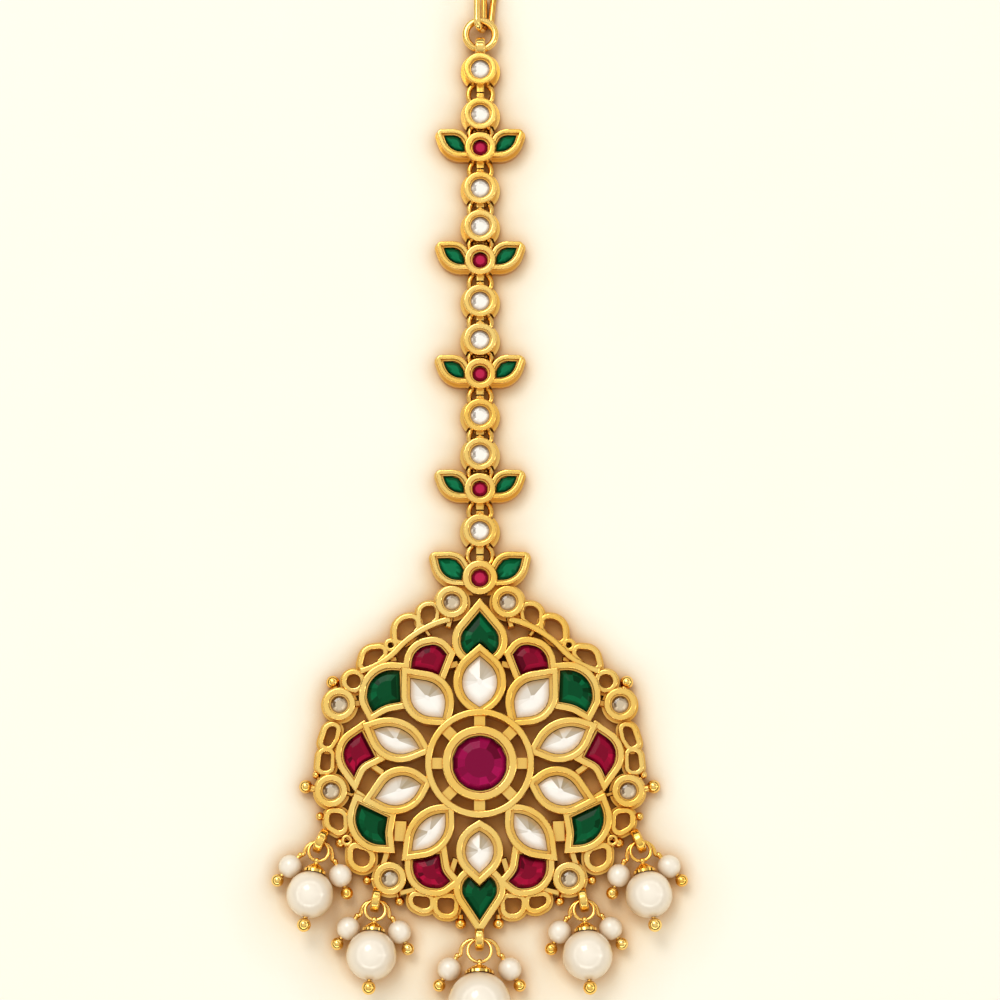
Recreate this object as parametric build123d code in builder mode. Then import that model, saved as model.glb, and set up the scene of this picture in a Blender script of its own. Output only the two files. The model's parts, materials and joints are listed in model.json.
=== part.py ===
"""Maang tikka: a hair hook, a chain of jewelled links and a pierced pendant with five pearl drops.

Millimetres. The jewel lies on its back: +X is its right, +Y runs up the chain to the hook and
+Z faces the viewer. Every outline below is measured from the middle of the pendant.
"""
from build123d import *
from math import asin, atan2, ceil, cos, pi, radians, sin, sqrt
import os

os.makedirs("parts", exist_ok=True)

# ---- driving dimensions -------------------------------------------------------------------------
HOOK_TOP = 113.6        # top of the hair hook above the middle of the pendant
RIM_ROUND = 0.2         # rounding of a setting's rim
CLEAR = 0.08            # play between a stone and its setting
BACK = 0.6              # thickness of a setting's closed back

PETAL_TOP = 3.0         # rim heights of the pendant's settings
CELL_TOP = 2.75
HUB_TOP = 3.15
BEZEL_TOP = 2.9
LOOP_TOP = 2.2
LOOP_BASE = 1.05        # the loops stand on a wider foot of this height
FOOT = 0.27             # how far that foot reaches beyond the loop

RUBY_BEZEL = (4.8, 3.73)        # outer and inner radius
HUB_RING = (7.0, 6.1)
RUBY_TOP = 3.3
BRIDGES = 8                     # blocks between the ruby's bezel and the hub ring
BRIDGE_WIDTH = 1.4
ROUND_BEZEL = (2.1, 1.28)       # small round settings on the pendant's rim

LINK_RIM = (2.15, 1.43)         # stone link: outer and inner radius
LINK_FOOT = 2.6
FLOWER_RIM = (2.03, 1.24)
LINK_TOP = 3.0
LEAF_TOP = 2.8
LINK_FLOOR = 1.5                # underside of the stones in the chain
LINK_END = 2.08                 # the links' feet are cut square this far from their middle
LINK_BAR = (1.0, 2.0)           # width and height of the bar that reaches from a link to its joint
PEAK = (0.9, 0.45, 2.75)        # point on a link's rim: half width, reach beyond the rim, height
JUMP_RING = (1.43, 0.35)        # mean radius and wire radius
WIDE_JUMP = 1.6                 # mean radius where the links stand further apart
JUMP_Z = 0.85
JUMP_PLAY = 0.15
BAIL_BAND = (1.45, 0.75, 1.3)   # loop on the first link: outer and inner radius, width
BAIL_BAND_Y = 3.1               # from the first link's middle

TOP_RING = (1.95, 0.48)         # mean radius and wire radius
TOP_RING_Y = 96.9
TOP_RING_Z = 1.6
HOOK_WIRE = 0.42                # wire radius
HOOK_EYE_Y = 98.8               # the hook is bent round the top ring here
HOOK_BELOW = 1.2                # its bend reaches this far below that
HOOK_HIGH_Z = 2.95              # height of the wire's middle above the ring
HOOK_LOW_Z = 0.52               # and where the hook lies on the table
HOOK_SIDE = 0.46                # the two wires at the ring lie this far beside the middle
HOOK_STUB = 3.2                 # the wire's lower end stops this far above the ring
HOOK_SPAN = 2.9                 # the hook's top corner, sideways
HOOK_FREE = (1.35, -0.4)        # its free end, from the ring
HOOK_TIP = 0.5                  # radius of the ball on the free end
HOOK_BENDS = [1.0, 1.0, 1.45, 1.45]

BAIL_RING = (1.61, 0.75, 1.15)  # loops that carry the drops: outer and inner radius, width
HANG_Z = 1.7
PIN_RISE = 0.3                  # the pearl's wire lies this far above the hanging point
ARCH_DROP = 0.32                # and the arch this far below it
PIN = 0.3                       # pin radius in the pearls
SMALL_PEARL = 1.5

# ---- chain: pitch down to the next link, stones and flowers in the order from the hook -----------
FLOWER_STEP = 5.5
STONE_STEP = 5.15
CLOSE_STEP = 4.55
OPEN_STEP = 6.15
CHAIN = [("stone", OPEN_STEP), ("stone", CLOSE_STEP)]
CHAIN += 3 * [("flower", FLOWER_STEP), ("stone", STONE_STEP), ("stone", CLOSE_STEP)]
CHAIN += [("flower", FLOWER_STEP), ("stone", OPEN_STEP)]
TOP_FLOWER_Y = 24.0

# ---- pendant settings: wall, then (x, y, corner radius) round the opening ------------------------
MIDDLE_PETALS = {
    "top": (0.8, [(0, 14.4, 0), (4.95, 10.1, 3.55), (0, 6.85, 0), (-4.95, 10.1, 3.55)]),
    "bottom": (0.84, [(0, -8.15, 0), (4.1, -10.6, 2.95), (0, -14.45, 0), (-4.1, -10.6, 2.95)]),
}
SIDE_PETALS = {
    "upper": (0.8, [(9.25, 11.45, 0), (9.3, 5.95, 3.15), (4.45, 5.55, 0), (3.35, 10.5, 3.3)]),
    "high": (0.8, [(14.05, 4.6, 0), (12.05, -0.2, 3.55), (7.2, 1.8, 0), (9.5, 6.05, 4.45)]),
    "low": (0.8, [(13.85, -4.55, 0), (9.2, -6.95, 3.55), (7.0, -2.55, 0), (10.6, 0.25, 3.15)]),
    "lower": (0.8, [(9.05, -11.55, 0), (3.75, -10.8, 3.8), (4.05, -6.0, 0), (8.35, -5.9, 4.3)]),
}
MIDDLE_CELLS = {
    "emerald_drop_top": (0.92, [(0, 20.0, 0), (5.4, 13.45, 2.4), (-5.4, 13.45, 2.4)]),
    "emerald_drop_bottom": (0.86, [(0, -20.3, 0), (4.3, -13.9, 2.1), (-4.3, -13.9, 2.1)]),
}
SIDE_CELLS = {
    "ruby_upper": (0.84, [(4.0, 14.1, 0), (5.25, 15.7, 1.85), (8.75, 15.05, 2.6), (9.2, 10.7, 0),
                          (5.55, 10.1, 0)]),
    "emerald_upper": (0.84, [(10.1, 12.15, 0), (14.5, 12.55, 3.4), (14.7, 8.05, 1.85),
                             (13.8, 6.35, 0), (12.1, 7.4, 3.95), (9.9, 7.8, 0)]),
    "ruby_side": (0.84, [(15.0, 4.45, 0), (18.8, 1.8, 2.9), (16.0, -2.1, 0), (15.2, -0.25, 2.35),
                         (13.1, 0.8, 0)]),
    "emerald_lower": (0.84, [(15.5, -4.85, 0), (17.5, -10.25, 3.55), (11.65, -10.6, 0),
                             (11.85, -8.75, 3.3), (11.5, -6.75, 0)]),
    "ruby_lower": (0.84, [(4.9, -11.3, 0), (8.7, -11.75, 0), (8.75, -15.85, 2.9),
                          (4.85, -16.15, 1.85), (3.4, -15.0, 0), (4.55, -13.65, 2.1)]),
}
ROUND_SETTINGS = [(3.6, 20.85), (18.0, 7.6), (18.95, -3.5), (11.4, -14.65)]     # x, y

# ---- pendant rim --------------------------------------------------------------------------------
LOOPS = [   # wall, then (x, y, corner radius) round the opening
    (0.62, [(5.55, 20.45, 0.65), (7.65, 20.3, 1.05), (7.5, 17.7, 0.4), (5.85, 18.75, 0.4)]),
    (0.68, [(8.25, 18.8, 0.65), (10.65, 18.6, 1.55), (10.6, 15.7, 0.4), (9.45, 16.3, 0.5),
            (8.25, 17.55, 0.25)]),
    (0.68, [(12.45, 14.85, 0.4), (14.6, 14.65, 1.2), (15.1, 12.5, 0.25), (13.7, 12.8, 0.65),
            (12.45, 14.15, 0.25)]),
    (0.68, [(18.3, 4.85, 0.4), (19.4, 4.7, 0.8), (20.1, 2.5, 0.4), (19.3, 2.2, 0.4),
            (18.6, 3.25, 0.65)]),
    (0.66, [(19.05, 1.5, 0.5), (20.2, 1.55, 0.65), (20.4, -0.8, 0.5), (19.15, -0.85, 0.5)]),
    (0.74, [(17.45, -6.4, 0.65), (19.15, -6.25, 0.5), (19.1, -7.85, 0.9), (17.35, -8.8, 0.5)]),
    (0.82, [(14.0, -11.3, 0.8), (16.1, -10.65, 0.4), (16.05, -12.65, 1.05), (14.15, -13.4, 0.8)]),
    (0.7, [(6.35, -17.0, 0.5), (8.5, -16.85, 0.4), (8.35, -17.85, 0.65), (7.25, -18.4, 0.9),
           (6.35, -18.25, 0.5)]),
    (0.72, [(3.15, -17.15, 0.5), (5.35, -17.1, 0.5), (5.2, -18.95, 0.95), (3.4, -19.05, 0.65)]),
]
EYELETS = [     # x, y, outer radius, hole radius
    (11.45, 15.3, 0.9, 0.33),
    (16.2, 10.65, 1.56, 0.86),
    (16.9, -9.75, 0.75, 0.32),
]
BALLS = [       # x, y, radius, then the point that its neck runs to
    (18.9, 10.6, 0.86, 18.0, 8.6),
    (22.25, -2.85, 0.88, 20.4, -3.3),
    (20.9, -1.35, 0.52, 20.2, -2.3),
    (20.4, -6.65, 0.55, 19.6, -6.9),
    (17.75, -10.0, 0.7, 16.9, -9.4),
    (14.3, -14.8, 0.58, 13.0, -14.6),
    (10.2, -17.45, 0.61, 10.6, -16.2),
    (2.4, -20.3, 0.7, 2.4, -19.2),
]
BARS = [        # x and y of both ends, width, height
    (3.7, 19.0, 4.1, 17.6, 0.8, 1.9),
    (7.15, 17.5, 6.4, 16.5, 0.6, 1.7),
    (2.7, 12.9, 4.1, 12.6, 1.0, 2.1),
    (12.3, -1.2, 14.0, 0.0, 0.9, 2.1),
    (14.2, -4.7, 16.0, -3.5, 0.9, 2.5),
    (16.1, -4.0, 17.3, -3.6, 0.6, 1.6),
    (15.0, 7.9, 16.6, 7.7, 0.9, 1.8),
    (3.0, -12.0, 3.6, -13.9, 0.9, 2.1),
    (10.05, -7.2, 10.15, -10.0, 1.7, 1.9),
    (11.6, -10.6, 12.3, -13.0, 0.9, 1.9),
    (7.9, -15.9, 10.2, -16.5, 0.8, 2.1),
    (10.6, 13.6, 11.6, 13.4, 0.7, 1.6),
    (16.9, -9.75, 16.0, -8.6, 0.8, 1.8),
]
STRAP = [       # start, middle and end of the arcs of the long strap under the upper loops
    ((3.75, 18.7), (7.3, 17.35), (10.4, 14.95)),
    ((10.4, 14.95), (12.7, 13.0), (15.4, 11.9)),
]
STRAP_SIZE = (0.8, 2.45)        # width, height

# ---- leaves: (x, y, corner radius) round the opening, from the middle of their flower ------------
LEAF_WALL = 0.6
LEAF = [(5.08, 1.87, 0), (4.2, -0.72, 2.4), (1.45, -0.68, 0), (2.45, 1.95, 1.7)]
BIG_LEAF = [(5.72, 2.75, 0), (5.0, -0.35, 2.6), (1.3, -0.5, 0), (1.6, 0.6, 0), (2.75, 2.85, 1.9)]
BIG_FLOWER_RIM = (2.25, 1.37)

# ---- drops: name, hanging point, swing outwards in degrees, pearl radius, distance to the pearl, eye
# ---- ring radius, arch radius, small pearl across and along the drop, radius of the big pearl's cap
DROPS = [
    ("center", 0.0, -22.3, 0.0, 4.0, 8.4, 1.5, 2.4, 3.85, 3.75, 1.75),
    ("inner_right", 13.15, -17.4, 4.1, 3.2, 7.1, 1.27, 1.8, 3.25, 3.75, 1.35),
    ("inner_left", -13.15, -17.4, -4.1, 3.2, 7.1, 1.27, 1.8, 3.25, 3.75, 1.35),
    ("outer_right", 20.25, -9.95, 10.4, 3.0, 6.95, 1.27, 1.8, 3.25, 3.75, 1.32),
    ("outer_left", -20.25, -9.95, -10.4, 3.0, 6.95, 1.27, 1.8, 3.25, 3.75, 1.32),
]

BALL = 0.9              # radius of the ball that closes a drop's pin
SMALL_BALL = 0.82
EYE_WIRE = 0.21
ARCH_WIRE = 0.27
ARCH_BEAD = 0.38
ARCH_TOP = -0.05        # middle of the arch's wire, from where it hangs
ARCH_KINK = 0.12        # the wire turns out to its beads this far above them
ARCH_BEND = 0.25
ARCH_SPREAD = 0.52      # sine of the angle at which an arch's ends splay
DRILL = 0.08            # play between a pearl and its pin
CAP_LIP = (0.14, 0.35)  # thickness and height of a cap's lip
CAP_TOP = 0.45          # radius of the cap's flat top, and its height above the pearl
CAP_HEIGHT = 1.0
NECK = 0.4              # radius of the bead between a pearl's eye and its cap

LEDGES = ((0.5, 0.0), (0.35, 0.16), (2.0, 0.32))    # depth of each step below the rim, its inset
ONE_LEDGE = ((0.55, 0.0), (2.0, 0.16))

# ---- cut stones: (height, scale) of each section, from the bottom to the table --------------------
CHORD = 0.95            # longest chord that a cut stone's outline takes on a round stretch
WHITE_CUT = [(0.9, 0.55), (1.75, 1.0), (1.9, 1.0), (2.55, 0.14)]
COLOR_CUT = [(1.0, 0.55), (1.9, 1.0), (2.05, 1.0), (2.35, 0.78), (2.5, 0.45)]
CENTER_CUT = [(1.0, 0.55), (2.35, 1.0), (2.5, 1.0), (3.05, 0.82), (3.35, 0.55)]
RIM_CUT = [(1.1, 0.6), (1.7, 1.0), (1.8, 1.0), (2.2, 0.6)]
CHAIN_CUT = [(1.56, 0.75), (1.95, 1.0), (2.05, 1.0), (2.4, 0.6)]
LEAF_CUT = [(1.56, 0.7), (1.95, 1.0), (2.1, 1.0), (2.35, 0.78), (2.5, 0.45)]
CENTER_SIDES = 14
ROUND_SIDES = 10



HANG_Y, CENTER_PEARL, CENTER_DISTANCE = DROPS[0][2], DROPS[0][4], DROPS[0][5]
CENTER_LEAN = asin((CENTER_PEARL - HANG_Z - PIN_RISE) / CENTER_DISTANCE)
DROP_END = HANG_Y - cos(CENTER_LEAN) * (CENTER_DISTANCE + CENTER_PEARL + CLEAR + BALL) - BALL
PENDANT_Y = -(HOOK_TOP + DROP_END) / 2      # middle of the pendant in the part's frame


# ---- outlines and planes ------------------------------------------------------------------------
def level(z, x=0.0, y=0.0):
    """Plane parallel to the table at height z, with its origin at (x, y) from the pendant's middle."""
    return Plane(origin=(x, PENDANT_Y + y, z))


def outline(corners):
    """Face with straight sides between its corners, each corner rounded by its own radius."""
    with BuildSketch() as face:
        with BuildLine():
            Polyline([(x, y) for x, y, _ in corners], close=True)
        make_face()
        for x, y, radius in corners:
            if radius:
                fillet(face.vertices().sort_by_distance(Vector(x, y))[0], radius)
    return face.sketch


def disc(x, y, radius):
    with BuildSketch() as face:
        with Locations((x, y)):
            Circle(radius)
    return face.sketch


def grown(face, amount, corner=Kind.INTERSECTION):
    """The face moved out (or in, when negative) by an amount."""
    with BuildSketch() as wider:
        add(face)
        offset(amount=amount, kind=corner)
    return wider.sketch


def flipped(corners):
    """The corners of the same outline on the left of the jewel."""
    return [(-x, y, radius) for x, y, radius in corners]


def moved(corners, y, side=1):
    """Corners given from a flower's middle, moved to that flower, on one side of the jewel."""
    return [(side * px, y + py, radius) for px, py, radius in corners]


def both_sides(part):
    return [part, part.mirror(Plane.YZ)]


# ---- goldwork -----------------------------------------------------------------------------------
def cup(shape, wall, height, ledges, corner=Kind.INTERSECTION, floor=BACK):
    """Closed-back setting: a wall round the shape, its rim rounded, stepping in down to the stone."""
    with BuildPart() as setting:
        with BuildSketch(level(0)):
            add(grown(shape, wall, corner))
        extrude(amount=height)
        with BuildSketch(level(height)):
            add(shape)
        extrude(amount=-ledges[0][0], mode=Mode.SUBTRACT)
        fillet(setting.faces().sort_by(Axis.Z)[-1].edges(), RIM_ROUND)
        top = height - ledges[0][0]
        for depth, inset in ledges[1:]:
            with BuildSketch(level(top)):
                add(grown(shape, -inset))
            extrude(amount=-min(depth, top - floor), mode=Mode.SUBTRACT)
            top -= depth
    return setting.part


def foot_ring(x, y, outer, height):
    """Band round the foot of a round setting, a little wider than its rim."""
    with BuildPart() as foot:
        with BuildSketch(level(0)):
            add(disc(x, y, outer + FOOT))
            add(disc(x, y, outer - FOOT), mode=Mode.SUBTRACT)
        extrude(amount=height)
    return foot.part


def pierced_ring(shape, wall, height, corner=Kind.INTERSECTION, foot=FOOT):
    """Open loop with a rounded rim, on a wider foot."""
    with BuildPart() as loop:
        with BuildSketch(level(0)):
            add(grown(shape, wall, corner))
            add(shape, mode=Mode.SUBTRACT)
        extrude(amount=height)
        fillet(loop.faces().sort_by(Axis.Z)[-1].edges(), RIM_ROUND)
        if foot:
            with BuildSketch(level(0)):
                add(grown(shape, wall + foot, Kind.ARC))
                add(grown(shape, wall / 2, corner), mode=Mode.SUBTRACT)
            extrude(amount=LOOP_BASE)
    return loop.part


def wall_zones(shapes):
    """Prisms over the settings' openings, out to the middle of their walls."""
    with BuildPart() as zones:
        for wall, shape in shapes:
            with BuildSketch(level(-1)):
                add(grown(shape, wall / 2))
            extrude(amount=8)
    return zones.part


def bar(x0, y0, x1, y1, width, height):
    """Flat soldered block between two points, its top edges broken."""
    middle = level(0, (x0 + x1) / 2, (y0 + y1) / 2).origin
    with BuildPart() as block:
        with BuildSketch(Plane(middle, x_dir=(x1 - x0, y1 - y0, 0))):
            Rectangle(sqrt((x1 - x0) ** 2 + (y1 - y0) ** 2), width)
        extrude(amount=height)
        chamfer(block.faces().sort_by(Axis.Z)[-1].edges(), 0.14)
    return block.part


def rod(start, end, radius):
    """Straight wire between two points."""
    with BuildPart() as wire:
        with BuildSketch(Plane(start, z_dir=end - start)):
            Circle(radius)
        extrude(amount=(end - start).length)
    return wire.part


def bead(centre, radius):
    with BuildPart() as sphere:
        with Locations(centre):
            Sphere(radius)
    return sphere.part


def granule(x, y, radius, neck_x, neck_y):
    """Small ball beside the rim, on a short neck that runs back into it."""
    z = max(radius, 1.1)
    centre, end = level(z, x, y).origin, level(min(z, 1.3), neck_x, neck_y).origin
    return [bead(centre, radius), rod(centre, end, radius * 0.55)]


def standing_ring(x, y, z, turn, size):
    """Fat ring that stands on edge across the table, turned about the vertical by some degrees."""
    outer, inner, width = size
    with BuildPart() as ring:
        with BuildSketch(Plane(level(z, x, y).origin, z_dir=(cos(radians(turn)), sin(radians(turn)), 0))):
            Circle(outer)
            Circle(inner, mode=Mode.SUBTRACT)
        extrude(amount=width / 2, both=True)
        fillet(ring.edges().filter_by(GeomType.CIRCLE), 0.38 * min(width, outer - inner))
    return ring.part


def lying_ring(y, z, size):
    """Closed wire ring parallel to the table, on the chain's middle line."""
    mean, wire = size
    with BuildPart() as ring:
        with Locations(level(z, 0, y)):
            Torus(mean, wire)
    return ring.part


# ---- chain links ----------------------------------------------------------------------------------
def link_foot(y, outer):
    """Flange under a link's round setting, cut square towards the neighbouring links."""
    with BuildPart() as foot:
        with BuildSketch(level(0, 0, y)):
            Circle(outer)
            Rectangle(2 * outer, 2 * LINK_END, mode=Mode.INTERSECT)
        extrude(amount=LOOP_BASE)
    return foot.part


def link_bar(y, radius, joint):
    """Bar from inside a link's wall to just short of the joint with its neighbour."""
    width, height = LINK_BAR
    side = 1 if joint > y else -1
    start, end = y + side * radius, joint - side * 0.1
    with BuildPart() as reach:
        with BuildSketch(level(0, 0, (start + end) / 2)):
            Rectangle(width, abs(end - start))
        extrude(amount=height)
        fillet(reach.faces().sort_by(Axis.Z)[-1].edges().filter_by(Axis.Y), RIM_ROUND)
    return reach.part


def ring_tunnel(joint, mean):
    """Room for the jump ring of a joint; the bars stay closed below it, so that the ring is held."""
    wire = JUMP_RING[1]
    play = wire + JUMP_PLAY
    with BuildPart() as tunnel:
        with BuildSketch(level(-1, 0, joint)):
            Circle(mean + play)
            Circle(mean - play, mode=Mode.SUBTRACT)
        extrude(amount=1 + JUMP_Z + play)
        with BuildSketch(level(-2, 0, joint)):
            Rectangle(LINK_BAR[0], 4 * mean)
        extrude(amount=2 + JUMP_Z - play, mode=Mode.SUBTRACT)
    return tunnel.part


def rim_peak(y, outer):
    """Small roof-shaped point on the upper edge of a link's rim."""
    half, reach, height = PEAK
    with BuildPart() as peak:
        with BuildSketch(level(0, 0, y)):
            with BuildLine():
                Polyline((-half, outer - half / 2), (0, outer + reach), (half, outer - half / 2), close=True)
            make_face()
        extrude(amount=height)
        chamfer(peak.faces().sort_by(Axis.Z)[-1].edges(), 0.12)
    return peak.part


def flower(y, rim, leaf):
    """Round ruby setting with a leaf-shaped emerald setting on each side, on a wider foot."""
    outer, inner = rim
    leaves = [outline(moved(leaf, y, side)) for side in (1, -1)]
    leaf_cups = [cup(shape, LEAF_WALL, LEAF_TOP, ONE_LEDGE, Kind.ARC, LINK_FLOOR) for shape in leaves]
    centre_cup = cup(disc(0, y, inner), outer - inner, LINK_TOP, ONE_LEDGE, floor=LINK_FLOOR)
    foot = link_foot(y, outer + FOOT)
    with BuildPart() as setting:
        for shape in leaves:
            with BuildSketch(level(0)):
                add(grown(shape, LEAF_WALL + FOOT, Kind.ARC))
            extrude(amount=LOOP_BASE)
        add(leaf_cups)
        with BuildSketch(level(-1)):
            add(disc(0, y, (outer + inner) / 2))
        extrude(amount=8, mode=Mode.SUBTRACT)
        add([centre_cup, foot])
    return setting.part


def stone_setting(y):
    outer, inner = LINK_RIM
    setting = cup(disc(0, y, inner), outer - inner, LINK_TOP, LEDGES, floor=LINK_FLOOR)
    return [setting, link_foot(y, LINK_FOOT)]


def jointed(pieces, y, rim, joints):
    """Setting with an arm and a ring tunnel towards each of its joints, given as (y, ring radius)."""
    arms = [link_bar(y, sum(rim) / 2, joint) for joint, _ in joints]
    tunnels = [ring_tunnel(*joint) for joint in joints]
    with BuildPart() as link:
        add(pieces)
        add(arms)
        add(tunnels, mode=Mode.SUBTRACT)
    return link.part


# ---- stones -----------------------------------------------------------------------------------------
def seat(shape, inset, keep_out=()):
    """Outline of the stone in a setting: clear of its lowest ledge and of the settings beside it."""
    with BuildSketch() as face:
        add(grown(shape, -inset - CLEAR))
        for wall, neighbour in keep_out:
            add(grown(neighbour, wall + CLEAR), mode=Mode.SUBTRACT)
    return face.sketch.faces().sort_by(SortBy.AREA)[-1]


def facet_corners(face):
    """Corners of a polygon that follows the outline, its round stretches cut into short chords."""
    middle = face.center()
    points = []
    for edge in face.outer_wire().edges():
        count = 1 if edge.geom_type == GeomType.LINE else ceil(edge.length / CHORD)
        points += [edge.position_at(step / count) for step in range(count + 1)]
    points.sort(key=lambda point: atan2(point.Y - middle.Y, point.X - middle.X))
    return [point for point, last in zip(points, points[-1:] + points) if (point - last).length > 0.25]


def round_corners(x, y, radius, sides):
    turns = [2 * pi * (step + 0.5) / sides for step in range(sides)]
    return [Vector(x + radius * cos(turn), y + radius * sin(turn)) for turn in turns]


def cut_stone(corners, middle, cut):
    """Stone with flat facets, lofted through its outline at several heights and scales."""
    with BuildPart() as stone:
        for z, scale in cut:
            with BuildSketch(level(z)):
                with BuildLine():
                    Polyline([middle + (corner - middle) * scale for corner in corners], close=True)
                make_face()
        loft(ruled=True)
    return stone.part


def fitted_stone(face, cut):
    return cut_stone(facet_corners(face), face.center(), cut)


def round_stone(x, y, radius, cut, sides=ROUND_SIDES):
    return cut_stone(round_corners(x, y, radius, sides), Vector(x, y), cut)


def write(part, name):
    part.label = name
    export_step(part, f"parts/{name}.step")


# ---- pendant frame: every soldered setting, strut, loop and ball is one solid ---------------------
petal_faces = {name: (wall, outline(corners)) for name, (wall, corners) in MIDDLE_PETALS.items()}
cell_faces = {name: (wall, outline(corners)) for name, (wall, corners) in MIDDLE_CELLS.items()}
for rows, faces in ((SIDE_PETALS, petal_faces), (SIDE_CELLS, cell_faces)):
    for name, (wall, corners) in rows.items():
        faces[name + "_right"] = (wall, outline(corners))
        faces[name + "_left"] = (wall, outline(flipped(corners)))
round_places = [(side * x, y) for x, y in ROUND_SETTINGS for side in (1, -1)]
round_faces = [(ROUND_BEZEL[0] - ROUND_BEZEL[1], disc(x, y, ROUND_BEZEL[1])) for x, y in round_places]

petal_cups = [cup(shape, wall, PETAL_TOP, LEDGES) for wall, shape in petal_faces.values()]
with BuildPart() as petals:
    add(petal_cups)
    with BuildSketch(level(-1)):
        Circle((HUB_RING[0] + HUB_RING[1]) / 2)
    extrude(amount=8, mode=Mode.SUBTRACT)

cell_cups = [cup(shape, wall, CELL_TOP, ONE_LEDGE) for wall, shape in cell_faces.values()]
inner_zones = wall_zones([*petal_faces.values(), *round_faces])
with BuildPart() as cells:
    add(cell_cups)
    add(inner_zones, mode=Mode.SUBTRACT)

ruby_cup = cup(disc(0, 0, RUBY_BEZEL[1]), RUBY_BEZEL[0] - RUBY_BEZEL[1], RUBY_TOP, ONE_LEDGE)
hub_ring = pierced_ring(disc(0, 0, HUB_RING[1]), HUB_RING[0] - HUB_RING[1], HUB_TOP, foot=0)
with BuildPart() as hub:
    add([ruby_cup, hub_ring])
    with BuildSketch(level(0)):
        with PolarLocations((RUBY_BEZEL[0] + HUB_RING[1]) / 2, BRIDGES):
            Rectangle(HUB_RING[1] - RUBY_BEZEL[0] + 0.5, BRIDGE_WIDTH)
    extrude(amount=HUB_TOP - 0.5)

with BuildPart() as strap:
    with BuildSketch(level(0)):
        with BuildLine():
            for start, middle, end in STRAP:
                ThreePointArc(start, middle, end)
        trace(line_width=STRAP_SIZE[0])
    extrude(amount=STRAP_SIZE[1])
    fillet(strap.faces().sort_by(Axis.Z)[-1].edges(), RIM_ROUND)

rim_pieces = both_sides(strap.part)
for wall, corners in LOOPS:
    rim_pieces += both_sides(pierced_ring(outline(corners), wall, LOOP_TOP, Kind.ARC))
for x, y, outer, hole in EYELETS:
    rim_pieces += both_sides(pierced_ring(disc(x, y, hole), outer - hole, LOOP_TOP, Kind.ARC, FOOT * hole))
for row in BALLS:
    for piece in granule(*row):
        rim_pieces += both_sides(piece)
for row in BARS:
    rim_pieces += both_sides(bar(*row))
all_zones = wall_zones([*petal_faces.values(), *cell_faces.values(), *round_faces])
with BuildPart() as rim:
    add(rim_pieces)
    add(all_zones, mode=Mode.SUBTRACT)

round_cups = []
for (wall, shape), (x, y) in zip(round_faces, round_places):
    round_cups += [cup(shape, wall, BEZEL_TOP, LEDGES), foot_ring(x, y, ROUND_BEZEL[0], LOOP_BASE + 0.3)]

top_joint = (TOP_FLOWER_Y + CHAIN[-1][1] / 2, WIDE_JUMP)
top_pieces = [flower(TOP_FLOWER_Y, BIG_FLOWER_RIM, BIG_LEAF), rim_peak(TOP_FLOWER_Y, BIG_FLOWER_RIM[0])]
top_flower = jointed(top_pieces, TOP_FLOWER_Y, BIG_FLOWER_RIM, [top_joint])

bails = [standing_ring(x, y + 0.1, HANG_Z, 2.3 * swing, BAIL_RING) for _, x, y, swing, *_ in DROPS]

with BuildPart() as pendant_frame:
    add([hub.part, petals.part, cells.part, rim.part])
    add(round_cups)
    add(top_flower)
    add(bails)
write(pendant_frame.part, "pendant_frame")

# ---- stones of the pendant --------------------------------------------------------------------------
LAST_LEDGE = LEDGES[-1][1]
ONE_INSET = ONE_LEDGE[-1][1]
for name, (_, shape) in petal_faces.items():
    write(fitted_stone(seat(shape, LAST_LEDGE), WHITE_CUT), "petal_stone_" + name)
beside_cells = [*petal_faces.values()]
beside_cells += [(wall + FOOT, shape) for wall, shape in round_faces]
for name, (_, shape) in cell_faces.items():
    write(fitted_stone(seat(shape, ONE_INSET, beside_cells), COLOR_CUT), name)
center_radius = RUBY_BEZEL[1] - ONE_INSET - CLEAR
write(round_stone(0, 0, center_radius, CENTER_CUT, CENTER_SIDES), "center_ruby")
rim_radius = ROUND_BEZEL[1] - LAST_LEDGE - CLEAR
write(Compound([round_stone(x, y, rim_radius, RIM_CUT) for x, y in round_places]), "rim_stones")

# ---- chain ------------------------------------------------------------------------------------------
link_y = TOP_FLOWER_Y + sum(step for _, step in CHAIN)
flowers = [(TOP_FLOWER_Y, BIG_FLOWER_RIM, BIG_LEAF)]
rings = [lying_ring(TOP_RING_Y, TOP_RING_Z, TOP_RING)]
link_stones = []
counts = {"stone": 0, "flower": 0}
above = None
for kind, step in CHAIN:
    below = (link_y - step / 2, WIDE_JUMP if step == OPEN_STEP else JUMP_RING[0])
    if kind == "flower":
        rim_size = FLOWER_RIM
        pieces = [flower(link_y, FLOWER_RIM, LEAF)]
        flowers.append((link_y, FLOWER_RIM, LEAF))
    else:
        rim_size = LINK_RIM
        pieces = stone_setting(link_y)
        link_stones.append(round_stone(0, link_y, LINK_RIM[1] - LAST_LEDGE - CLEAR, CHAIN_CUT))
    if not above:
        pieces.append(standing_ring(0, link_y + BAIL_BAND_Y, TOP_RING_Z, 0, BAIL_BAND))
    elif kind == "stone":
        pieces.append(rim_peak(link_y, rim_size[0]))
    counts[kind] += 1
    joints = [joint for joint in (above, below) if joint]
    write(jointed(pieces, link_y, rim_size, joints), f"{kind}_link_{counts[kind]}")
    rings.append(lying_ring(below[0], JUMP_Z, (below[1], JUMP_RING[1])))
    link_y -= step
    above = below
write(Compound(rings), "jump_rings")
write(Compound(link_stones), "link_stones")

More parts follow.
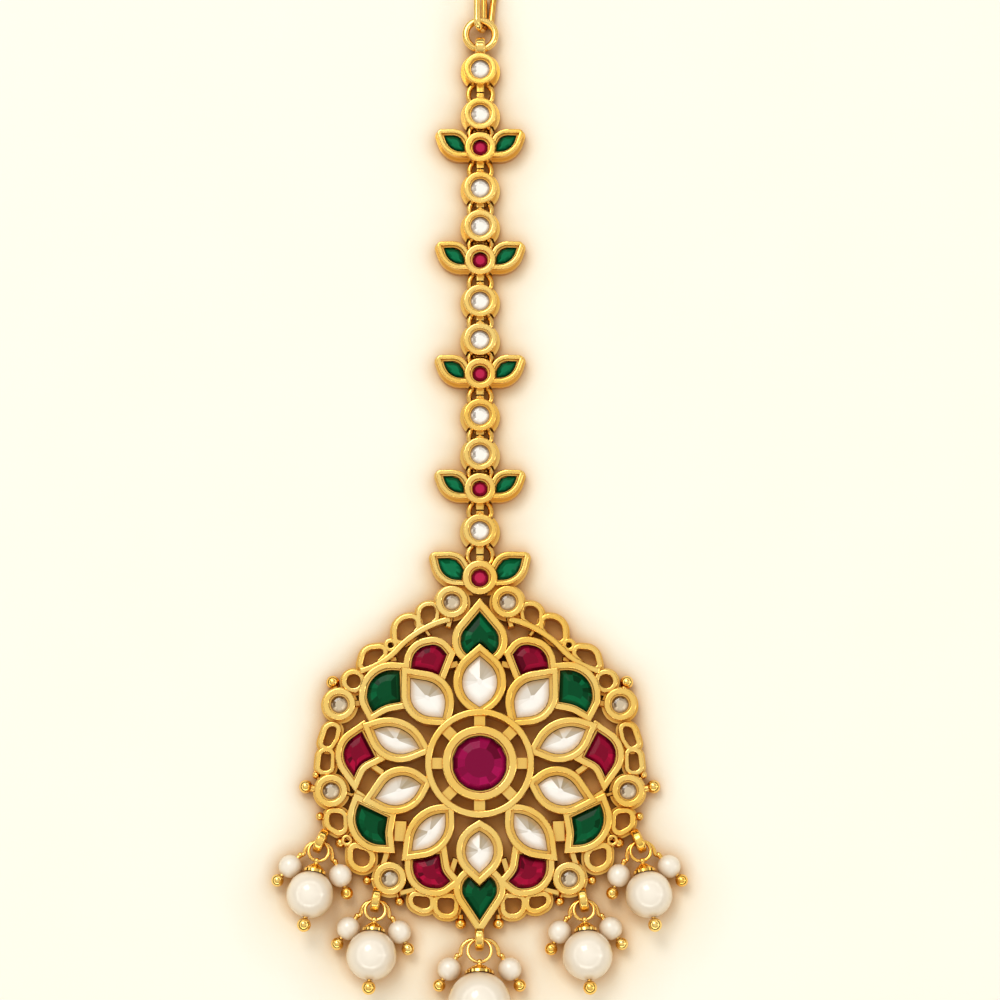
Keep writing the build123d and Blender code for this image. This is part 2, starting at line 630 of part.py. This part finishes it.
flower_rubies = []
leaf_emeralds = []
for y, (outer, inner), leaf in flowers:
    flower_rubies.append(round_stone(0, y, inner - ONE_INSET - CLEAR, CHAIN_CUT))
    for side in (1, -1):
        face = seat(outline(moved(leaf, y, side)), ONE_INSET, [(outer - inner, disc(0, y, inner))])
        leaf_emeralds.append(fitted_stone(face, LEAF_CUT))
write(Compound(flower_rubies), "flower_rubies")
write(Compound(leaf_emeralds), "leaf_emeralds")

# ---- hair hook: a wire bent in a U round the top ring, and back on itself at its upper end ------------
ring_y, wire_top = PENDANT_Y + HOOK_EYE_Y, PENDANT_Y + HOOK_TOP - HOOK_WIRE
hook_points = [
    Vector(HOOK_SIDE, ring_y + HOOK_STUB, HOOK_LOW_Z + 0.1),
    Vector(HOOK_SIDE, ring_y - HOOK_BELOW, HOOK_LOW_Z),
    Vector(-HOOK_SIDE, ring_y - HOOK_BELOW, HOOK_HIGH_Z),
    Vector(-HOOK_SIDE, wire_top, HOOK_LOW_Z),
    Vector(HOOK_SPAN, wire_top, HOOK_LOW_Z),
    Vector(HOOK_FREE[0], ring_y + HOOK_FREE[1], HOOK_LOW_Z),
]
with BuildPart() as hair_hook:
    with BuildLine():
        bent_wire = FilletPolyline(*hook_points, radius=HOOK_BENDS)
    with BuildSketch(Plane(bent_wire @ 0, z_dir=bent_wire % 0)):
        Circle(HOOK_WIRE)
    sweep(path=bent_wire)
    with Locations(hook_points[-1]):
        Sphere(HOOK_TIP)
write(hair_hook.part, "hair_hook")


# ---- drops --------------------------------------------------------------------------------------------
def hanging_plane(x, y, z, swing, rise):
    """Plane with its origin where a drop hangs and -Y down the drop; rise is the sine of its climb."""
    turn = radians(swing)
    flat = sqrt(1 - rise ** 2)
    across = Vector(cos(turn), sin(turn), 0)
    along = Vector(-sin(turn) * flat, cos(turn) * flat, -rise)
    return Plane(level(z, x, y).origin, x_dir=across, z_dir=across.cross(along))


def pearl_wire(pearl, distance, eye_ring, cap):
    """Eye, neck, pin with its cap above the pearl and its ball below; it hangs down -Y from its eye."""
    neck, end = -2 * eye_ring, -distance - pearl - CLEAR - BALL
    shell = pearl + CLEAR
    cap_turn, pin_turn = asin(cap / shell), asin(PIN / shell)
    seat_points = [
        (shell * sin(turn), shell * cos(turn) - distance)
        for turn in (pin_turn, (pin_turn + cap_turn) / 2, cap_turn)
    ]
    lip = seat_points[-1][1]
    edge, crown = cap + CAP_LIP[0], pearl + CAP_HEIGHT - distance
    dome_middle = (0.72 * cap, 0.5 * (lip + crown) + 0.25)
    ball_shoulder = end + sqrt(BALL ** 2 - PIN ** 2)
    neck_shoulder = neck - sqrt(NECK ** 2 - PIN ** 2)
    with BuildPart() as wire:
        with BuildSketch():
            with BuildLine():
                ThreePointArc((0, end - BALL), (BALL, end), (PIN, ball_shoulder))
                Line((PIN, ball_shoulder), seat_points[0])
                ThreePointArc(*seat_points)
                Polyline((cap, lip), (edge, lip), (edge, lip + CAP_LIP[1]))
                ThreePointArc((edge, lip + CAP_LIP[1]), dome_middle, (CAP_TOP, crown))
                Polyline((CAP_TOP, crown), (PIN, crown), (PIN, neck_shoulder))
                ThreePointArc((PIN, neck_shoulder), (NECK, neck), (0, neck + NECK))
                Line((0, neck + NECK), (0, end - BALL))
            make_face()
        revolve(axis=Axis.Y)
        with Locations((0, -eye_ring)):
            Torus(eye_ring, EYE_WIRE)
    return wire.part


def arch_wire(arch, across, along):
    """Arched wire with a bead and a straight splayed pin on each side; the pins end in balls."""
    left, right = [splayed_pin(side, across, along) for side in (-1, 1)]
    low = left[0].Y + ARCH_KINK
    corners = [left[0], (-arch, low), (-arch, ARCH_TOP), (arch, ARCH_TOP), (arch, low), right[0]]
    shoulder = min(0.9 * arch, 0.85 * (ARCH_TOP - low))
    with BuildPart() as wire:
        with BuildLine():
            bow = FilletPolyline(*corners, radius=[ARCH_BEND, shoulder, shoulder, ARCH_BEND])
        with BuildSketch(Plane(bow @ 0, z_dir=bow % 0)):
            Circle(ARCH_WIRE)
        sweep(path=bow)
        for start, stop in (left, right):
            add(bead(start, ARCH_BEAD))
            add(rod(start, stop, PIN))
            add(bead(stop, SMALL_BALL))
    return wire.part


def splayed_pin(side, across, along):
    """Ends of the pin through a small pearl: its bead and the middle of its ball."""
    middle = Vector(side * across, -along)
    down = Vector(side * ARCH_SPREAD, -sqrt(1 - ARCH_SPREAD ** 2))
    return middle - down * (SMALL_PEARL + 0.45), middle + down * (SMALL_PEARL + SMALL_BALL + CLEAR)


def drilled_pearl(radius, middle, start, stop):
    """Round pearl, drilled along the line from start to stop."""
    with BuildPart() as pearl:
        add(bead(middle, radius))
        add(rod(start, stop, PIN + DRILL), mode=Mode.SUBTRACT)
    return pearl.part


small_pearls = []
for name, x, y, swing, pearl, distance, eye_ring, arch, across, along, cap in DROPS:
    rise = (pearl - HANG_Z - PIN_RISE) / distance
    drop = hanging_plane(x, y, HANG_Z + PIN_RISE, swing, rise).location
    write(pearl_wire(pearl, distance, eye_ring, cap).moved(drop), "pearl_pin_" + name)
    big_pearl = drilled_pearl(pearl, Vector(0, -distance), Vector(0, 0), Vector(0, -2 * distance))
    write(big_pearl.moved(drop), "big_pearl_" + name)

    rise = (SMALL_PEARL - HANG_Z + ARCH_DROP) / along
    bow = hanging_plane(x, y, HANG_Z - ARCH_DROP, swing, rise).location
    write(arch_wire(arch, across, along).moved(bow), "drop_arch_" + name)
    for side in (1, -1):
        pin_ends = splayed_pin(side, across, along)
        small_pearl = drilled_pearl(SMALL_PEARL, Vector(side * across, -along), *pin_ends)
        small_pearls.append(small_pearl.moved(bow))
write(Compound(small_pearls), "small_pearls")
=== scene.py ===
"""Looks of a maang tikka: gilt settings, cut rubies, emeralds and foiled white stones, pearls."""
import json
import math

import bmesh
import bpy
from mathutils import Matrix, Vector


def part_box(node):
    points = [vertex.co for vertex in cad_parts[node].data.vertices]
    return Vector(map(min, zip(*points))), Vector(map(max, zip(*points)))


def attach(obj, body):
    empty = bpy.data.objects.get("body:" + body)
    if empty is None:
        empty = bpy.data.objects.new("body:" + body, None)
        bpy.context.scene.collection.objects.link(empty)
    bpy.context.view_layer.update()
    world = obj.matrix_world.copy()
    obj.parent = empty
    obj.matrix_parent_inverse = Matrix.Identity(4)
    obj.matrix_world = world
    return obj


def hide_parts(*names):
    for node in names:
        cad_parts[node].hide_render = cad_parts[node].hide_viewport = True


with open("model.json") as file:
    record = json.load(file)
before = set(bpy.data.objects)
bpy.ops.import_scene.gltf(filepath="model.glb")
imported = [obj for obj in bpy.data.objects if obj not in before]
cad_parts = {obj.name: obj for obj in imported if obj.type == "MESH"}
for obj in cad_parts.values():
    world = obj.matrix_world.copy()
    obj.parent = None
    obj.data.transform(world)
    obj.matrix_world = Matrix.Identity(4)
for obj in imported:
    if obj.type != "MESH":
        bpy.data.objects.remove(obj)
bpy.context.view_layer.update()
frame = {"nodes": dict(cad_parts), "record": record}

MM = 0.001

# ---- view ----------------------------------------------------------------------------------------
RUBY_MIDDLE = sum(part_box("center_ruby"), Vector()) / 2
VIEW_HEIGHT = math.radians(80)       # the camera's angle above the table
VIEW_WIDTH = 130 * MM                # what the frame spans at the table
VIEW_DISTANCE = 480 * MM
VIEW_ASIDE = 2.6 * MM                # the frame's middle, to the right of the ruby
VIEW_ABOVE_RUBY = 34.6 * MM          # and up the chain from it
VIEW_MIDDLE = Vector((VIEW_ASIDE, RUBY_MIDDLE.y + VIEW_ABOVE_RUBY, 0))
SENSOR = 36.0                        # millimetres, as the lens is given
NEAREST = 10 * MM                    # nothing closer to the camera is drawn

# ---- round white stones: heights above their seat, and the share of their full width there -------
ROUND_CUT = ((0.0, 1.0), (0.13 * MM, 1.0), (0.33 * MM, 0.74), (0.40 * MM, 0.46))
ROUND_SIDES = 16
CHAIN_STONE = (1.24 * MM, 2.16 * MM)     # radius, and height of the step that it sits on
RIM_STONE = (1.09 * MM, 2.06 * MM)
SAME_CORNER = 0.001 * MM                 # corners of a stone closer than this are one

# ---- shared effects ------------------------------------------------------------------------------
RECESS_SAMPLES = 4
DENT_SCALE = 2600.0                  # dents and drift of tone, per metre
DRIFT_SCALE = 120.0
FACET_STEPS = 12.0                   # steps of tilt that tell one facet from the next
TO_LOWER_END = (0.25, -0.97, 0.0)    # down the jewel and a little to the right; facets leaning this way get painted light
LEVEL_TILT = 0.996                   # a facet whose normal rises more than this lies level
HALF_STEP = (0.5, 0.5, 0.5)          # so that level facets don't fall between two steps

# ---- gold ----------------------------------------------------------------------------------------
GOLD_LIGHT = (1.0, 0.70, 0.21, 1)
GOLD_WARM = (0.98, 0.59, 0.11, 1)
# painted shade: the brown that gold is painted in recesses and near the table
GOLD_PAINTED_SHADE = (0.52, 0.18, 0.006, 1)
GOLD_DARK_BELOW = 1.8 * MM           # painted shade: gold goes darker from this height down to the table
GOLD_DARK_SHARE = 0.7                # how much of the painted shade shows down there
GOLD_RECESS = (0.15, 0.85)           # depths between which gold goes from open to painted shade
GOLD_DRIFT = (0.35, 0.65)            # drift between which gold goes from light to warm
POLISH_DRIFT = (0.3, 0.7)
POLISH_CHANGE = 0.02                 # how far roughness drifts to either side

# ---- stones: the tone of a facet runs from 0 to 1 ------------------------------------------------
COLOR_LEAN = 0.35                    # painted light: leaning this far down the jewel gives the full change
COLOR_LEAN_SHARE = 0.6
COLOR_START = -0.35                  # tone before a facet's lean and its own part
# painted shade at the rim of a colored stone reaches this far in
COLOR_RIM_REACH = 0.8 * MM
# painted reflection on white stones: the lean down the jewel that gives the full change, and its
# share
WHITE_LEAN = 0.25
WHITE_LEAN_SHARE = 0.5
WHITE_OWN_SHARE = 0.9
# strength of the painted shade at a stone's rim
RIM_GAIN = 1.2
WHITE_SEED = 3.0

# ---- pearls --------------------------------------------------------------------------------------
CREAM_DARK = (0.93, 0.86, 0.73, 1)
CREAM_LIGHT = (0.97, 0.91, 0.80, 1)
# painted golden reflection and shade on a pearl's sides and underside
PEARL_PAINTED_EDGE = (0.70, 0.45, 0.16, 1)
PEARL_PAINTED_EDGE_FALL = 1.6                # higher keeps the painted golden edge narrower
PEARL_DENTS = 0.02 * MM
PEARL_DENT_SCALE = 420.0
PEARL_DRIFT_SCALE = 160.0

# ---- table ---------------------------------------------------------------------------------------
TABLE_WIDTH = 3.0
TABLE_DARK = (1.0, 0.968, 0.855, 1)
TABLE_LIGHT = (1.0, 0.978, 0.88, 1)
TABLE_GRAIN = 60.0
# painted shadow on the table around and under the jewel
PAINTED_SHADOW_WIDE = (9.0 * MM, 1.4, (1.0, 0.73, 0.37, 1))        # reach, gain and colour
PAINTED_SHADOW_CLOSE = (2.5 * MM, 1.0, (0.50, 0.22, 0.03, 1))

# ---- lamps: name, place, size, power and tint; and the sky by the height of its parts ------------
LAMPS = (
    ("key", (-0.30, 0.55, 1.0), (0.5, 0.5), 4.2, (1, 0.98, 0.95)),
    ("side", (0.9, -0.1, 0.6), (0.12, 0.9), 0.8, (1, 0.97, 0.92)),
    ("front", (-0.1, -0.9, 0.5), (0.9, 0.12), 0.8, (1, 0.97, 0.92)),
)
SKY_LOW = (0.06, 0.045, 0.03, 1)
SKY_HIGH = (0.86, 0.85, 0.82, 1)
SKY_TURNS = (0.45, 0.97)             # from low to high sky
BAND = (2.2, 2.1, 1.95, 1)
BAND_RISES = (0.34, 0.44)
BAND_FALLS = (0.50, 0.60)


# ---- shader building -----------------------------------------------------------------------------
def add_node(tree, kind, inputs=None, **settings):
    """A node with its settings and its input values; an input given as a socket is linked."""
    node = tree.nodes.new(kind)
    for name, value in settings.items():
        setattr(node, name, value)
    for name, value in (inputs or {}).items():
        socket = node.inputs[name]
        if isinstance(value, bpy.types.NodeSocket):
            tree.links.new(value, socket)
        else:
            socket.default_value = value
    return node


def math_node(tree, operation, *values, clamp=False):
    inputs = dict(enumerate(values))
    node = add_node(tree, "ShaderNodeMath", inputs, operation=operation, use_clamp=clamp)
    return node.outputs[0]


def mix_color(tree, factor, a, b, blend="MIX"):
    inputs = {0: factor, 6: a, 7: b}
    node = add_node(tree, "ShaderNodeMix", inputs, data_type="RGBA", blend_type=blend)
    return node.outputs[2]


def mix_value(tree, factor, a, b):
    inputs = {0: factor, 2: a, 3: b}
    return add_node(tree, "ShaderNodeMix", inputs, data_type="FLOAT").outputs[0]


def spread(tree, value, low, high, to_low=0.0, to_high=1.0):
    """The value's range from low to high, spread over another range and held inside it."""
    inputs = {
        "Value": value, "From Min": low, "From Max": high, "To Min": to_low, "To Max": to_high,
    }
    return add_node(tree, "ShaderNodeMapRange", inputs).outputs["Result"]


def bump(tree, height, strength, distance):
    inputs = {"Height": height, "Strength": strength, "Distance": distance}
    return add_node(tree, "ShaderNodeBump", inputs).outputs["Normal"]


def upward(tree, vector):
    return add_node(tree, "ShaderNodeSeparateXYZ", {0: vector}).outputs["Z"]


def group_shell(name, inputs, outputs):
    """An empty node group with float inputs (name: default) and float outputs."""
    group = bpy.data.node_groups.new(name, "ShaderNodeTree")
    for label, default in inputs.items():
        socket = group.interface.new_socket(
            label, in_out="INPUT", socket_type="NodeSocketFloat")
        socket.default_value = default
    for label in outputs:
        group.interface.new_socket(label, in_out="OUTPUT", socket_type="NodeSocketFloat")
    entry = group.nodes.new("NodeGroupInput")
    leave = group.nodes.new("NodeGroupOutput")
    return group, entry.outputs, leave.inputs


def recess_group():
    """How deep a point sits between its neighbours: 0 in the open, 1 in a corner or a pit."""
    group, given, result = group_shell("recess", {"Reach": MM, "Gain": 1.0}, ["Recess"])
    open_share = add_node(
        group, "ShaderNodeAmbientOcclusion", {"Distance": given["Reach"]}, samples=RECESS_SAMPLES,
    ).outputs["AO"]
    depth = math_node(group, "SUBTRACT", 1.0, open_share)
    group.links.new(
        math_node(group, "MULTIPLY", depth, given["Gain"], clamp=True), result["Recess"])
    return group


def hammer_group():
    """Soft unevenness of hand-burnished metal: a height for bump and a slow drift of tone."""
    group, given, result = group_shell(
        "hammer", {"Scale": DENT_SCALE, "Drift Scale": DRIFT_SCALE}, ["Height", "Drift"])
    place = add_node(group, "ShaderNodeTexCoord").outputs["Object"]
    for scale, detail, output in (("Scale", 2.0, "Height"), ("Drift Scale", 1.0, "Drift")):
        inputs = {"Vector": place, "Scale": given[scale], "Detail": detail}
        noise = add_node(group, "ShaderNodeTexNoise", inputs)
        group.links.new(noise.outputs["Fac"], result[output])
    return group


def facet_group():
    """Each flat facet's own value, how far it leans to the lower end, and whether it lies level."""
    group, given, result = group_shell(
        "facet", {"Seed": 0.0, "Steps": FACET_STEPS}, ["Value", "Lean", "Level"])
    normal = add_node(group, "ShaderNodeNewGeometry").outputs["True Normal"]
    scaled = add_node(
        group, "ShaderNodeVectorMath", {0: normal, 1: given["Steps"], 2: HALF_STEP},
        operation="MULTIPLY_ADD")
    steps = add_node(
        group, "ShaderNodeVectorMath", {0: scaled.outputs[0]}, operation="FLOOR")
    noise = add_node(
        group, "ShaderNodeTexWhiteNoise", {"Vector": steps.outputs[0], "W": given["Seed"]},
        noise_dimensions="4D")
    lean = add_node(
        group, "ShaderNodeVectorMath", {0: normal, 1: TO_LOWER_END}, operation="DOT_PRODUCT")
    level = math_node(group, "GREATER_THAN", upward(group, normal), LEVEL_TILT)
    group.links.new(noise.outputs["Value"], result["Value"])
    group.links.new(lean.outputs["Value"], result["Lean"])
    group.links.new(level, result["Level"])
    return group


RECESS, HAMMER, FACET = recess_group(), hammer_group(), facet_group()


def use_group(tree, group, **values):
    """A group's outputs; an underscore in an input's name stands for a space."""
    node = tree.nodes.new("ShaderNodeGroup")
    node.node_tree = group
    for label, value in values.items():
        node.inputs[label.replace("_", " ")].default_value = value
    return node.outputs


def recess(tree, reach, gain):
    return use_group(tree, RECESS, Reach=reach, Gain=gain)["Recess"]


def new_material(name):
    material = bpy.data.materials.new(name)
    material.use_nodes = True
    tree = material.node_tree
    return material, tree, tree.nodes["Principled BSDF"]


def set_inputs(shader, **values):
    for label, value in values.items():
        shader.inputs[label.replace("_", " ")].default_value = value


# ---- finishes ------------------------------------------------------------------------------------
def gold(name, roughness, dents, recess_reach, recess_gain):
    """Gilt metal: pale in the open, with warm brown painted shade where it lies deep or near the
    table.
    """
    material, tree, shader = new_material(name)
    hammer = use_group(tree, HAMMER)
    place = add_node(tree, "ShaderNodeNewGeometry").outputs["Position"]
    # painted shade: darker towards the table and in recesses
    low = spread(tree, upward(tree, place), 0.0, GOLD_DARK_BELOW, GOLD_DARK_SHARE, 0.0)
    deep = spread(tree, recess(tree, recess_reach, recess_gain), *GOLD_RECESS)
    depth = math_node(tree, "MAXIMUM", deep, low)
    open_gold = mix_color(
        tree, spread(tree, hammer["Drift"], *GOLD_DRIFT), GOLD_LIGHT, GOLD_WARM)
    rough = spread(
        tree, hammer["Drift"], *POLISH_DRIFT,
        roughness - POLISH_CHANGE, roughness + POLISH_CHANGE)
    tree.links.new(mix_color(tree, depth, open_gold, GOLD_PAINTED_SHADE), shader.inputs["Base Color"])
    tree.links.new(rough, shader.inputs["Roughness"])
    tree.links.new(bump(tree, hammer["Height"], 1.0, dents), shader.inputs["Normal"])
    set_inputs(shader, Metallic=1.0, Coat_Weight=0.2, Coat_Roughness=0.12)
    return material


def colored_stone(name, deep, body, bright, seed, table_tone=0.35, own_share=1.0):
    """Cut colored glass over foil: each facet takes its own tone plus painted light by how far it
    leans down the jewel, and painted shade darkens the rim.
    """
    material, tree, shader = new_material(name)
    facet = use_group(tree, FACET, Seed=seed)
    # painted light: facets leaning down the jewel turn towards the bright colour
    leaning = spread(tree, facet["Lean"], -COLOR_LEAN, COLOR_LEAN)
    own = math_node(tree, "MULTIPLY_ADD", facet["Value"], own_share, COLOR_START)
    tilted = math_node(tree, "MULTIPLY_ADD", leaning, COLOR_LEAN_SHARE, own)
    tilted = spread(tree, tilted, 0.0, 1.0)
    tone = mix_value(tree, facet["Level"], tilted, table_tone)
    lit = mix_color(tree, tone, body, bright)
    # painted shade: the stone goes dark where the setting's walls stand close
    rim = recess(tree, COLOR_RIM_REACH, RIM_GAIN)
    tree.links.new(mix_color(tree, rim, lit, deep), shader.inputs["Base Color"])
    set_inputs(shader, Roughness=0.14, IOR=1.45, Specular_IOR_Level=0.09)
    return material


def white_stone(name, dark, bright, rim_color, level, rim_reach, steps):
    """Foiled white stone with painted reflection: bright where it leans to the lower end, dark
    where it leans away, and painted shade and gold reflection at the rim.
    """
    material, tree, shader = new_material(name)
    facet = use_group(tree, FACET, Seed=WHITE_SEED, Steps=steps)
    own = math_node(
        tree, "MULTIPLY_ADD", facet["Value"], WHITE_OWN_SHARE, level - WHITE_OWN_SHARE / 2)
    # painted reflection: facets leaning down the jewel turn bright, those leaning away dark
    leaning = spread(
        tree, facet["Lean"], -WHITE_LEAN, WHITE_LEAN, -WHITE_LEAN_SHARE, WHITE_LEAN_SHARE)
    lit = mix_color(tree, math_node(tree, "ADD", leaning, own, clamp=True), dark, bright)
    # painted shade and gold reflection where the setting's walls stand close
    rim = recess(tree, rim_reach, RIM_GAIN)
    tree.links.new(mix_color(tree, rim, lit, rim_color), shader.inputs["Base Color"])
    set_inputs(shader, Roughness=0.1, IOR=1.5, Coat_Weight=0.4, Coat_Roughness=0.03)
    return material


def pearl(name):
    """Cream nacre with a soft gloss, and painted golden reflection and shade towards its underside.
    """
    material, tree, shader = new_material(name)
    hammer = use_group(tree, HAMMER, Scale=PEARL_DENT_SCALE, Drift_Scale=PEARL_DRIFT_SCALE)
    normal = add_node(tree, "ShaderNodeNewGeometry").outputs["Normal"]
    # painted golden reflection and shade, growing as the surface turns away from facing up
    sideways = spread(tree, upward(tree, normal), 0.0, 1.0, 1.0, 0.0)
    edge = math_node(tree, "POWER", sideways, PEARL_PAINTED_EDGE_FALL)
    cream = mix_color(tree, hammer["Drift"], CREAM_DARK, CREAM_LIGHT)
    tree.links.new(mix_color(tree, edge, cream, PEARL_PAINTED_EDGE), shader.inputs["Base Color"])
    tree.links.new(bump(tree, hammer["Height"], 0.6, PEARL_DENTS), shader.inputs["Normal"])
    set_inputs(shader, Roughness=0.3, Coat_Weight=1.0, Coat_Roughness=0.05)
    return material


# one finish for each slot
FINISHES = {
    "satin_gold": gold(
        "satin gold", roughness=0.19, dents=0.0015 * MM, recess_reach=1.1 * MM, recess_gain=1.0),
    "polished_gold": gold(
        "polished gold", roughness=0.14, dents=0.001 * MM, recess_reach=0.8 * MM,
        recess_gain=0.9),
    "ruby": colored_stone(
        "ruby", deep=(0.05, 0.0, 0.006, 1), body=(0.09, 0.001, 0.010, 1),
        bright=(0.42, 0.004, 0.042, 1), seed=1.0),
    "emerald": colored_stone(
        "emerald", deep=(0.0, 0.010, 0.002, 1), body=(0.0, 0.028, 0.006, 1),
        bright=(0.002, 0.14, 0.045, 1), seed=2.0),
    "white_stone": white_stone(
        "white petal stone", dark=(0.42, 0.34, 0.22, 1), bright=(1.0, 0.99, 0.96, 1),
        rim_color=(0.62, 0.38, 0.12, 1), level=0.74, rim_reach=0.9 * MM, steps=4.0),
    "pearl": pearl("pearl"),
}
# the pieces that differ from the rest of their slot
CHAIN_GOLD = gold(
    "chain gold", roughness=0.16, dents=0.001 * MM, recess_reach=0.9 * MM, recess_gain=0.95)
SPECIAL = {
    "center_ruby": colored_stone(
        "center ruby", deep=(0.06, 0.0, 0.010, 1), body=(0.13, 0.002, 0.022, 1),
        bright=(0.44, 0.006, 0.10, 1), seed=4.0, table_tone=0.25),
    "flower_rubies": colored_stone(
        "flower ruby", deep=(0.12, 0.001, 0.010, 1), body=(0.34, 0.012, 0.045, 1),
        bright=(0.68, 0.025, 0.12, 1), seed=5.0, table_tone=0.45, own_share=0.8),
    "leaf_emeralds": colored_stone(
        "leaf emerald", deep=(0.0, 0.03, 0.008, 1), body=(0.0, 0.085, 0.026, 1),
        bright=(0.008, 0.24, 0.10, 1), seed=6.0, table_tone=0.5, own_share=0.8),
    "link_stones": white_stone(
        "white chain stone", dark=(0.16, 0.12, 0.08, 1), bright=(1.0, 0.99, 0.95, 1),
        rim_color=(0.30, 0.19, 0.08, 1), level=0.74, rim_reach=0.3 * MM, steps=3.0),
    "rim_stones": white_stone(
        "white rim stone", dark=(0.14, 0.08, 0.03, 1), bright=(0.84, 0.72, 0.52, 1),
        rim_color=(0.26, 0.14, 0.04, 1), level=0.45, rim_reach=0.3 * MM, steps=3.0),
}

for part in frame["record"]["subparts"]:
    node = part["node"]
    finish = SPECIAL.get(node) or FINISHES[part["material_slot"]]
    if node.startswith(("stone_link", "flower_link")):
        finish = CHAIN_GOLD
    piece = frame["nodes"][node]
    piece.data.materials.clear()
    piece.data.materials.append(finish)


# ---- round white stones --------------------------------------------------------------------------
def stone_middles(node):
    """Middle of each loose stone of a CAD node, seen from above, in a fixed order."""
    shape = bmesh.new()
    shape.from_mesh(frame["nodes"][node].data)
    bmesh.ops.remove_doubles(shape, verts=shape.verts, dist=SAME_CORNER)
    middles, waiting = [], set(shape.verts)
    for first in shape.verts:
        if first not in waiting:
            continue
        waiting.discard(first)
        stone = [first]
        for corner in stone:                     # the list grows as it is walked
            for edge in corner.link_edges:
                other = edge.other_vert(corner)
                if other in waiting:
                    waiting.discard(other)
                    stone.append(other)
        across = [corner.co.x for corner in stone]
        along = [corner.co.y for corner in stone]
        middles.append(
            Vector((min(across) + max(across), min(along) + max(along), 0)) / 2)
    shape.free()
    return sorted(middles, key=lambda middle: (round(middle.y, 5), middle.x))


def set_round_stones(name, node, size, finish):
    """Round cut stones in place of a CAD node's, wide enough to cover the step that they sit on."""
    radius, seat = size
    turns = [math.tau * (side + 0.5) / ROUND_SIDES for side in range(ROUND_SIDES)]
    corners, faces = [], []
    for middle in stone_middles(node):
        start = len(corners)
        for rise, share in ROUND_CUT:
            reach = radius * share
            for turn in turns:
                corners.append(middle + Vector(
                    (reach * math.cos(turn), reach * math.sin(turn), seat + rise)))
        for ring in range(len(ROUND_CUT) - 1):
            low = start + ring * ROUND_SIDES
            for side in range(ROUND_SIDES):
                a, b = low + side, low + (side + 1) % ROUND_SIDES
                faces.append((a, b, b + ROUND_SIDES, a + ROUND_SIDES))
        faces.append(tuple(reversed(range(start, start + ROUND_SIDES))))
        faces.append(tuple(range(len(corners) - ROUND_SIDES, len(corners))))
    mesh = bpy.data.meshes.new(name)
    mesh.from_pydata(corners, [], faces)
    mesh.materials.append(finish)
    stones = bpy.data.objects.new(name, mesh)
    bpy.context.scene.collection.objects.link(stones)
    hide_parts(node)
    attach(stones, "root")


set_round_stones("chain_round_stones", "link_stones", CHAIN_STONE, SPECIAL["link_stones"])
set_round_stones("rim_round_stones", "rim_stones", RIM_STONE, SPECIAL["rim_stones"])


# ---- table, light and camera ---------------------------------------------------------------------
def lay_table():
    """Pale table top under the jewel, with painted peach shadow where the gold stands close above
    it.
    """
    bpy.ops.mesh.primitive_plane_add(size=TABLE_WIDTH, location=(0, 0, 0))
    table = bpy.context.object
    table.name = "table"
    material, tree, shader = new_material("pale table")
    place = add_node(tree, "ShaderNodeTexCoord").outputs["Object"]
    grain = add_node(
        tree, "ShaderNodeTexNoise", {"Vector": place, "Scale": TABLE_GRAIN, "Detail": 2.0})
    tone = mix_color(tree, grain.outputs["Fac"], TABLE_DARK, TABLE_LIGHT)
    # painted shadow: wide and peach, then close and brown, where the jewel stands close above
    for reach, gain, color in (PAINTED_SHADOW_WIDE, PAINTED_SHADOW_CLOSE):
        tone = mix_color(tree, recess(tree, reach, gain), tone, color)
    tree.links.new(tone, shader.inputs["Base Color"])
    set_inputs(shader, Roughness=0.9, Specular_IOR_Level=0.1)
    table.data.materials.append(material)


def add_softbox(name, place, size, power, tint):
    """Rectangular area lamp aimed at the pendant's ruby."""
    lamp = bpy.data.lights.new(name, "AREA")
    lamp.shape = "RECTANGLE"
    lamp.size, lamp.size_y = size
    lamp.energy = power
    lamp.color = tint
    holder = bpy.data.objects.new(name, lamp)
    bpy.context.scene.collection.objects.link(holder)
    holder.location = place
    aim = RUBY_MIDDLE - Vector(place)
    holder.rotation_euler = aim.to_track_quat("-Z", "Y").to_euler()


def light_world():
    """Sky: bright overhead, dark near the table, with a band between that the edges catch."""
    world = bpy.data.worlds.new("studio")
    bpy.context.scene.world = world
    world.use_nodes = True
    tree = world.node_tree
    direction = add_node(tree, "ShaderNodeTexCoord").outputs["Generated"]
    height = upward(tree, direction)
    sky = mix_color(tree, spread(tree, height, *SKY_TURNS), SKY_LOW, SKY_HIGH)
    rising = spread(tree, height, *BAND_RISES)
    falling = spread(tree, height, *BAND_FALLS, 1.0, 0.0)
    band = math_node(tree, "MULTIPLY", rising, falling)
    background = tree.nodes["Background"]
    tree.links.new(mix_color(tree, band, sky, BAND, "ADD"), background.inputs["Color"])
    background.inputs["Strength"].default_value = 1.0


def place_camera():
    lens = bpy.data.cameras.new("camera")
    holder = bpy.data.objects.new("camera", lens)
    bpy.context.scene.collection.objects.link(holder)
    lens.sensor_width = SENSOR
    lens.lens = SENSOR * VIEW_DISTANCE / VIEW_WIDTH
    lens.clip_start = NEAREST
    away = Vector((0, -math.cos(VIEW_HEIGHT), math.sin(VIEW_HEIGHT)))
    holder.location = VIEW_MIDDLE + VIEW_DISTANCE * away
    holder.rotation_euler = (-away).to_track_quat("-Z", "Y").to_euler()
    bpy.context.scene.camera = holder


lay_table()
light_world()
for lamp in LAMPS:
    add_softbox(*lamp)
place_camera()
bpy.context.scene.view_settings.view_transform = "Standard"
